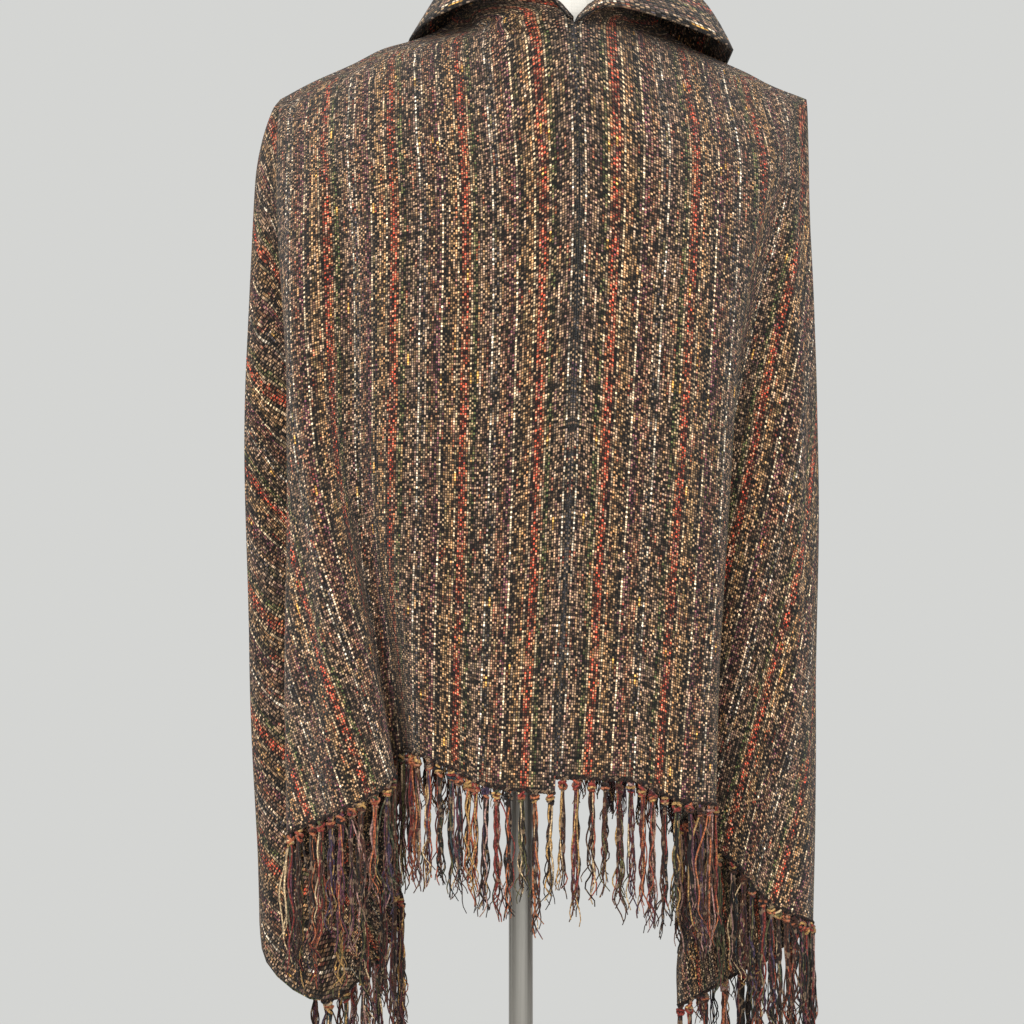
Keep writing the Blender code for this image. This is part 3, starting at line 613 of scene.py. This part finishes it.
def tweedMaterial():
    sheet = NodeSheet("wovenTweed")
    m = sheet.maths
    uv = sheet.add("ShaderNodeUVMap", uv_map="cloth")
    split = sheet.add("ShaderNodeSeparateXYZ")
    sheet.link(uv.outputs["UV"], split.inputs[0])
    s, t = split.outputs[0], split.outputs[1]
    size, turnsS, turnsT = tweed["drift"]
    s = m("ADD", s, m("MULTIPLY", m("SUBTRACT", sheet.stretchedNoise(s, turnsS, t, turnsT, 0.0), 0.5), size))
    size, turnsS, turnsT = tweed["waver"]
    t = m("ADD", t, m("MULTIPLY", m("SUBTRACT", sheet.stretchedNoise(s, turnsS, t, turnsT, 3.0), 0.5), size))
    warpPitch = tweed["repeat"] / len(tweed["warpColours"])
    warpAt = m("DIVIDE", s, warpPitch)
    weftAt = m("DIVIDE", t, tweed["weftPitch"])
    warpIndex, weftIndex = m("FLOOR", warpAt), m("FLOOR", weftAt)

    # warp: its own colour from the repeat, broken by short runs of a spare colour
    fromRust = m("SUBTRACT", m("MULTIPLY", m("ADD", warpIndex, 0.5), warpPitch), tweed["firstRust"])
    chart = m("FRACT", m("ADD", m("DIVIDE", fromRust, tweed["repeat"]), 10.0))
    run = m("FLOOR", m("ADD", m("DIVIDE", t, tweed["dyeRun"]), m("MULTIPLY", warpIndex, 0.37)))
    odd = m("GREATER_THAN", sheet.whiteNoise(sheet.vector(warpIndex, run, 4.0)), tweed["trueRuns"])
    sparePick = sheet.whiteNoise(sheet.vector(warpIndex, run, 9.0))
    warpColour = sheet.mix(m("MULTIPLY", odd, tweed["spareShare"]),
                           sheet.bands(chart, tweed["warpColours"]),
                           sheet.bands(sparePick, tweed["spareColours"]))
    yarnPick = sheet.whiteNoise(sheet.vector(warpIndex, 3.0, 7.0))
    dye = sheet.stretchedNoise(warpIndex, 13.7, t, 24.0, 2.0, 3.0)
    warpColour = sheet.dim(warpColour, m("ADD", m("MULTIPLY", yarnPick, 0.5), m("MULTIPLY", dye, 1.5)))

    # weft: between a dark and a light brown, tinted by the warp that it crosses
    cell = sheet.whiteNoise(sheet.vector(warpIndex, weftIndex, 1.0))
    weftDye = sheet.stretchedNoise(s, 60.0, weftIndex, 9.1, 5.0, 3.0)
    weftPick = m("SUBTRACT", m("ADD", m("MULTIPLY", weftDye, 1.6), m("MULTIPLY", cell, 0.5)), 0.55)
    weftColour = sheet.mix(weftPick, linearColour(tweed["weftDark"]), linearColour(tweed["weftLight"]))
    weftColour = sheet.mix(tweed["weftTint"], weftColour, warpColour)
    checker = m("MODULO", m("ABSOLUTE", m("ADD", warpIndex, weftIndex)), 2.0)
    colour = sheet.mix(checker, weftColour, warpColour)

    # yarn relief: each float bulges in the middle of its cell and dips at the crossings
    across = m("SUBTRACT", m("MULTIPLY", m("FRACT", warpAt), 2.0), 1.0)
    along = m("SUBTRACT", m("MULTIPLY", m("FRACT", weftAt), 2.0), 1.0)
    dip = m("MAXIMUM", m("POWER", m("ABSOLUTE", across), 2.4), m("POWER", m("ABSOLUTE", along), 3.4))
    bulge = m("SUBTRACT", 1.0, dip)
    fibre = sheet.stretchedNoise(s, tweed["fibreScale"], t, tweed["fibreScale"], 0.0)
    relief = m("ADD", m("MULTIPLY", bulge, 0.8), m("MULTIPLY", fibre, 0.5))
    # painted shade: the colour is darkened where the yarn relief dips, in the gaps between yarns
    slope, offset, darkest = tweed["gapShade"]
    shadedGaps = m("MAXIMUM", m("ADD", m("MULTIPLY", relief, slope), offset), darkest)
    slubRun = m("FLOOR", m("DIVIDE", t, tweed["slubLength"]))
    slubPick = sheet.whiteNoise(sheet.vector(warpIndex, slubRun, 12.0))
    slub = m("GREATER_THAN", slubPick, tweed["slubRarity"])
    colour = sheet.mix(m("MULTIPLY", slub, tweed["slubShare"]), colour, linearColour(tweed["slub"]))
    # painted highlight and shade: each yarn crossing is made brighter or darker at random, on top of the
    # painted gap shade
    least, reach = tweed["paintedCrossingLight"]
    paintedLight = m("MULTIPLY", shadedGaps, m("ADD", least, m("MULTIPLY", m("POWER", cell, 2.0), reach)))
    sheet.link(sheet.dim(colour, paintedLight), sheet.shader.inputs["Base Color"])
    sheet.finish(0.86, sheen=0.12, specular=0.25)
    sheet.bump(relief, *tweed["bump"])
    return sheet.material


# Fringe: tassels of loose warp ends under a dark twined edge
fringe = {
    "seed": 31,
    "tassels": 48,
    "yarnsEach": (8, 12),
    "yarnRadius": 0.00078,
    "endTaper": 0.45,
    "sides": 4,
    "segments": 20,
    "length": 0.104,
    "lengthSpread": 0.16,
    "shorter": (1.0, 1.0, 0.97, 0.93, 0.88, 0.82),   # how far down a tassel its yarns reach
    "knotDrop": 0.0075,
    "knotRadius": 0.0031,
    "knotGirths": (0.72, 1.0, 0.95, 0.66),           # turn by turn, widest in the middle
    "knotYarn": 0.0013,
    "knotPitch": 0.0019,
    "knotSlant": 0.0026,
    "knotSides": 10,
    "knotDepth": 0.85,
    "rootSpread": (0.0035, 0.0006),                  # along the hem and across it
    "knotSpread": 0.0012,
    "endSpread": (0.0022, 0.0020),
    "curlFrom": 0.7,
    "curl": (0.0035, 0.0030),
    "strays": 0.05,
    "strayReach": 0.012,
    "ownColours": 0.75,                              # share of yarns in the tassel's own colours
    "colours": (
        "20130e", "3a2218", "4a2a1c", "16110f", "4c2020", "7a3028", "8e4430", "a8603c",
        "a8824e", "c8ac84", "545030", "3a3e2a", "5c3440", "3c2e42", "26343a", "a07a70",
    ),
    "weights": (12, 11, 9, 11, 7, 5, 4, 3, 4, 4, 3, 3, 6, 4, 2, 4),
    "knotColours": ("7a3028", "9c5a3c", "a8824e"),
}
twine = {
    "colours": ("17100d", "2e1c14"),                 # one for each of its strands
    "radius": 0.0011,
    "turns": 95,
    "pointsATurn": 6,
    "coil": (0.0013, 0.0011),
    "drop": 0.0008,
    "sides": 5,
}
down = np.array([0.0, 0.0, -1.0])


def unit(vector):
    return vector / max(np.linalg.norm(vector), 1e-9)


def addTube(store, path, radii, colour, sides):
    # appends one closed tube along a path to the piece's lists
    verts, faces, colours = store
    path = np.asarray(path)
    ahead = np.gradient(path, axis=0)
    ahead /= np.maximum(np.linalg.norm(ahead, axis=1, keepdims=True), 1e-9)
    guide = np.array([0.0, 1.0, 0.0]) if abs(ahead[0, 1]) < 0.8 else np.array([1.0, 0.0, 0.0])
    first = len(verts)
    for k, point in enumerate(path):
        side = np.cross(ahead[k], guide)
        side /= max(np.linalg.norm(side), 1e-9)
        up = np.cross(side, ahead[k])
        for m in range(sides):
            angle = 2 * math.pi * m / sides
            verts.append(point + radii[k] * (math.cos(angle) * side + math.sin(angle) * up))
            colours.append(colour)
    count = len(path)
    for k in range(count - 1):
        for m in range(sides):
            a = first + k * sides + m
            b = first + k * sides + (m + 1) % sides
            faces.append((a, a + sides, b + sides, b))
    faces.append(tuple(first + m for m in range(sides)))
    faces.append(tuple(first + (count - 1) * sides + m for m in reversed(range(sides))))


def hemFrames(places, edge, first, last):
    # gives, for a place on the hem, its point and the directions along the cloth and out of it
    def at(place):
        return np.array([np.interp(place, places, edge[:, k]) for k in range(3)])

    def frameAt(place, reach):
        ahead = at(min(place + reach, last)) - at(max(place - reach, first))
        ahead[2] = 0
        ahead = unit(ahead)
        return at(place), ahead, np.array([ahead[1], -ahead[0], 0.0])

    return frameAt


def tieKnot(store, rng, knot, ahead, out, colours):
    # the overhand knot: slanted turns of yarn round the bundle
    for turn, girth in enumerate(fringe["knotGirths"]):
        tilt = rng.uniform(-1.0, 1.0)
        size = fringe["knotRadius"] * girth * rng.uniform(0.85, 1.15)
        loop = []
        for k in range(fringe["knotSides"] + 1):
            angle = 2 * math.pi * k / fringe["knotSides"]
            ring = math.cos(angle) * ahead + math.sin(angle) * out * fringe["knotDepth"]
            fall = fringe["knotPitch"] * (turn - 1.5) + fringe["knotSlant"] * tilt * math.cos(angle + turn)
            loop.append(knot + size * ring + down * fall)
        addTube(store, loop, [fringe["knotYarn"]] * len(loop), rng.choice(colours), 5)


def hangYarn(store, rng, root, knot, ahead, out, full, lean, chosen, palette):
    # one loose warp end: through the knot, then down in a kinked and slightly curled line
    if rng.random() < fringe["ownColours"]:
        colour = rng.choice(chosen)
    else:
        colour = rng.choices(palette, fringe["weights"])[0]
    span = full * rng.choice(fringe["shorter"]) * rng.uniform(0.96, 1.04)
    spread = rng.uniform(-1, 1)
    depth = rng.uniform(-1, 1)
    phase = rng.uniform(0, 6.28)
    wave = rng.uniform(0.0008, 0.0024)
    kink = rng.uniform(9, 24)
    stray = rng.choice((-1, 1)) if rng.random() < fringe["strays"] else 0
    wide, deep = fringe["rootSpread"]
    start = root + ahead * rng.uniform(-wide, wide) + out * rng.uniform(-deep, deep) + down * 0.0004
    path = [start, knot + ahead * spread * 0.0012 + out * depth * 0.001]
    segments = fringe["segments"]
    for k in range(1, segments + 1):
        u = k / segments
        sway = wave * math.sin(phase + u * kink) * (0.3 + u)
        wander = spread * (fringe["knotSpread"] + fringe["endSpread"][0] * u) + sway + lean * span * u * 0.6
        sway = wave * math.cos(phase * 1.7 + u * kink * 0.8) * (0.3 + u)
        swing = depth * (fringe["knotSpread"] + fringe["endSpread"][1] * u) + sway
        if u > fringe["curlFrom"]:
            curl = (u - fringe["curlFrom"]) / 0.3
            wander += curl * fringe["curl"][0] * math.sin(phase * 2.3 + curl * 5)
            swing += curl * fringe["curl"][1] * math.cos(phase * 1.3 + curl * 5)
        if stray:
            wander += stray * math.sin(u * math.pi) * fringe["strayReach"]
        path.append(knot + ahead * wander + out * swing + down * span * u)
    radius = fringe["yarnRadius"] * rng.uniform(0.75, 1.25)
    tapered = [radius * (1 - fringe["endTaper"] * (k / segments) ** 3) for k in range(1, segments + 1)]
    addTube(store, path, [radius, radius] + tapered, colour, fringe["sides"])


def twineEdge(store, frameAt, first, last):
    # two strands twisted round each other along the hem
    count = twine["turns"] * twine["pointsATurn"]
    for strand, code in enumerate(twine["colours"]):
        path = []
        for k in range(count + 1):
            point, ahead, out = frameAt(first + (last - first) * k / count, 0.002)
            angle = 2 * math.pi * k / twine["pointsATurn"] + strand * math.pi
            rise = math.sin(angle) * twine["coil"][1] - twine["drop"]
            path.append(point + out * math.cos(angle) * twine["coil"][0] + np.array([0, 0, rise]))
        addTube(store, path, [twine["radius"]] * (count + 1), linearColour(code), twine["sides"])


def makeFringe(name, places, edge, first, last, seed):
    rng = random.Random(seed)
    store = ([], [], [])
    palette = [linearColour(code) for code in fringe["colours"]]
    brights = [linearColour(code) for code in fringe["knotColours"]]
    pitch = (last - first) / fringe["tassels"]
    frameAt = hemFrames(places, edge, first, last)
    for i in range(fringe["tassels"]):
        centre = first + (i + 0.5 + rng.uniform(-0.12, 0.12)) * pitch
        root, ahead, out = frameAt(centre, 0.003)
        knot = root + down * fringe["knotDrop"] * rng.uniform(0.85, 1.15)
        chosen = rng.choices(palette, fringe["weights"], k=6)
        full = fringe["length"] * (1 + fringe["lengthSpread"] * rng.uniform(-1, 1))
        lean = rng.uniform(-0.05, 0.05)
        tieKnot(store, rng, knot, ahead, out, chosen[:3] + brights)
        for _ in range(rng.randint(*fringe["yarnsEach"])):
            hangYarn(store, rng, root, knot, ahead, out, full, lean, chosen, palette)
    twineEdge(store, frameAt, first, last)
    verts, faces, colours = store
    mesh = bpy.data.meshes.new(name)
    mesh.from_pydata([tuple(v) for v in verts], [], faces)
    layer = mesh.color_attributes.new("yarnColour", "FLOAT_COLOR", "POINT")
    layer.data.foreach_set("color", np.array(colours, dtype=np.float32).ravel())
    mesh.shade_smooth()
    piece = bpy.data.objects.new(name, mesh)
    bpy.context.scene.collection.objects.link(piece)
    return piece


def yarnMaterial():
    sheet = NodeSheet("looseYarn")
    attribute = sheet.add("ShaderNodeAttribute", attribute_name="yarnColour")
    coords = sheet.add("ShaderNodeTexCoord")
    twist = sheet.noise(coords.outputs["Object"], 620.0)
    fleck = sheet.noise(coords.outputs["Object"], 210.0)
    shade = sheet.maths("ADD", sheet.maths("MULTIPLY", sheet.maths("POWER", twist, 2.0), 4.2), -0.15)
    pale = sheet.maths("MULTIPLY", sheet.maths("GREATER_THAN", fleck, 0.60), 0.5)
    colour = sheet.mix(pale, sheet.dim(attribute.outputs["Color"], shade), linearColour("a08468"))
    sheet.link(colour, sheet.shader.inputs["Base Color"])
    sheet.finish(0.85, sheen=0.1, specular=0.25)
    sheet.bump(twist, 0.6, 0.0004)
    return sheet.material


def jerseyMaterial():
    sheet = NodeSheet("formJersey")
    coords = sheet.add("ShaderNodeTexCoord")
    split = sheet.add("ShaderNodeSeparateXYZ")
    sheet.link(coords.outputs["Object"], split.inputs[0])
    m = sheet.maths
    ribs = m("SINE", m("MULTIPLY", split.outputs[0], 2600.0))
    rows = m("SINE", m("MULTIPLY", split.outputs[2], 2100.0))
    knit = m("MULTIPLY", m("ADD", ribs, rows), 0.25)
    cloud = sheet.noise(coords.outputs["Object"], 18.0, 3.0)
    colour = sheet.mix(m("ADD", m("MULTIPLY", cloud, 0.5), m("MULTIPLY", knit, 0.2)),
                       linearColour("dcd8ce"), linearColour("efece4"))
    sheet.link(colour, sheet.shader.inputs["Base Color"])
    sheet.finish(0.75, sheen=0.15)
    sheet.bump(knit, 0.25, 0.0003)
    return sheet.material


def steelMaterial():
    sheet = NodeSheet("brushedSteel")
    coords = sheet.add("ShaderNodeTexCoord")
    mapping = sheet.add("ShaderNodeMapping")
    mapping.inputs["Scale"].default_value = (900.0, 900.0, 12.0)   # grain runs up the pole
    sheet.link(coords.outputs["Object"], mapping.inputs["Vector"])
    grain = sheet.noise(mapping.outputs[0], 1.0, 3.0)
    colour = sheet.mix(grain, linearColour("8f8c86"), linearColour("b3afa8"))
    sheet.link(colour, sheet.shader.inputs["Base Color"])
    roughness = sheet.maths("ADD", sheet.maths("MULTIPLY", grain, 0.15), 0.26)
    sheet.link(roughness, sheet.shader.inputs["Roughness"])
    sheet.shader.inputs["Metallic"].default_value = 1.0
    sheet.bump(grain, 0.15, 0.0002)
    return sheet.material


def dress():
    tweedSkin, yarnSkin = tweedMaterial(), yarnMaterial()
    halves = (("back", 0.0, cut["panelWidth"]), ("front", cutEdge - cut["panelWidth"], cutEdge))
    for number, side in enumerate(("left", "right")):
        places = columnPlaces(side)
        cloth, edge = makePanel(side)
        cloth.data.materials.append(tweedSkin)
        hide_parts(f"panel_{side}")
        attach(cloth, "root")
        for half, first, last in halves:
            seed = fringe["seed"] + 7 * number + (half == "front")
            piece = makeFringe(f"tassels_{half}_{side}", places, edge, first, last, seed)
            piece.data.materials.append(yarnSkin)
            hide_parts(f"fringe_{half}_{side}")
            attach(piece, "root")
        print("panel and fringe made:", side)


def coverNode(name, skin):
    node = bpy.data.objects[name]
    if not node.material_slots:
        node.data.materials.append(skin)
    for slot in node.material_slots:
        slot.material = skin
    print("finished:", name)


# Pale studio, with the photo's view from behind the garment
studio = {
    "world": (0.66, 0.665, 0.65, 1.0),
    "floorRadius": 2.3,
    "floorDrop": 0.0005,
    "floorColour": (0.62, 0.62, 0.60, 1.0),
    "floorRoughness": 0.8,
    "lightSize": 1.6,
    "lightAim": (0, 0, 1.0),
    "lights": (("keyLight", (-0.9, -3.2, 2.6), 95.0), ("fillLight", (1.2, -3.0, 1.6), 30.0)),
    "camera": (-0.008, -2.2, 1.0255),
    "sensor": 36.0,
    "focalPixels": 2420,
    "photoWidth": 1024,
}


def light(name, place, power):
    lamp = bpy.data.lights.new(name, "AREA")
    lamp.shape = "SQUARE"
    lamp.size = studio["lightSize"]
    lamp.energy = power
    holder = bpy.data.objects.new(name, lamp)
    bpy.context.scene.collection.objects.link(holder)
    holder.location = place
    direction = np.array(studio["lightAim"]) - np.array(place)
    holder.rotation_euler = (math.acos(-direction[2] / np.linalg.norm(direction)), 0,
                             math.atan2(direction[1], direction[0]) - math.pi / 2)


def setStudio():
    scene = bpy.context.scene
    world = bpy.data.worlds.new("paleRoom")
    scene.world = world
    world.use_nodes = True
    background = world.node_tree.nodes["Background"]
    background.inputs["Color"].default_value = studio["world"]
    background.inputs["Strength"].default_value = 1.0
    bpy.ops.mesh.primitive_circle_add(vertices=64, radius=studio["floorRadius"], fill_type="NGON",
                                      location=(0, 0, -studio["floorDrop"]))
    floor = bpy.context.active_object
    floor.name = "floor"
    skin = NodeSheet("paleFloor")
    skin.shader.inputs["Base Color"].default_value = studio["floorColour"]
    skin.finish(studio["floorRoughness"])
    floor.data.materials.append(skin.material)
    for name, place, power in studio["lights"]:
        light(name, place, power)
    scene.view_settings.view_transform = "Standard"
    cameraData = bpy.data.cameras.new("camera")
    cameraData.sensor_width = studio["sensor"]
    cameraData.lens = studio["focalPixels"] / studio["photoWidth"] * studio["sensor"]
    camera = bpy.data.objects.new("camera", cameraData)
    scene.collection.objects.link(camera)
    camera.location = studio["camera"]
    camera.rotation_euler = (math.pi / 2, 0, 0)
    scene.camera = camera
    print("studio set")


dress()
coverNode("form_torso", jerseyMaterial())
coverNode("pole", steelMaterial())
coverNode("base", steelMaterial())
setStudio()
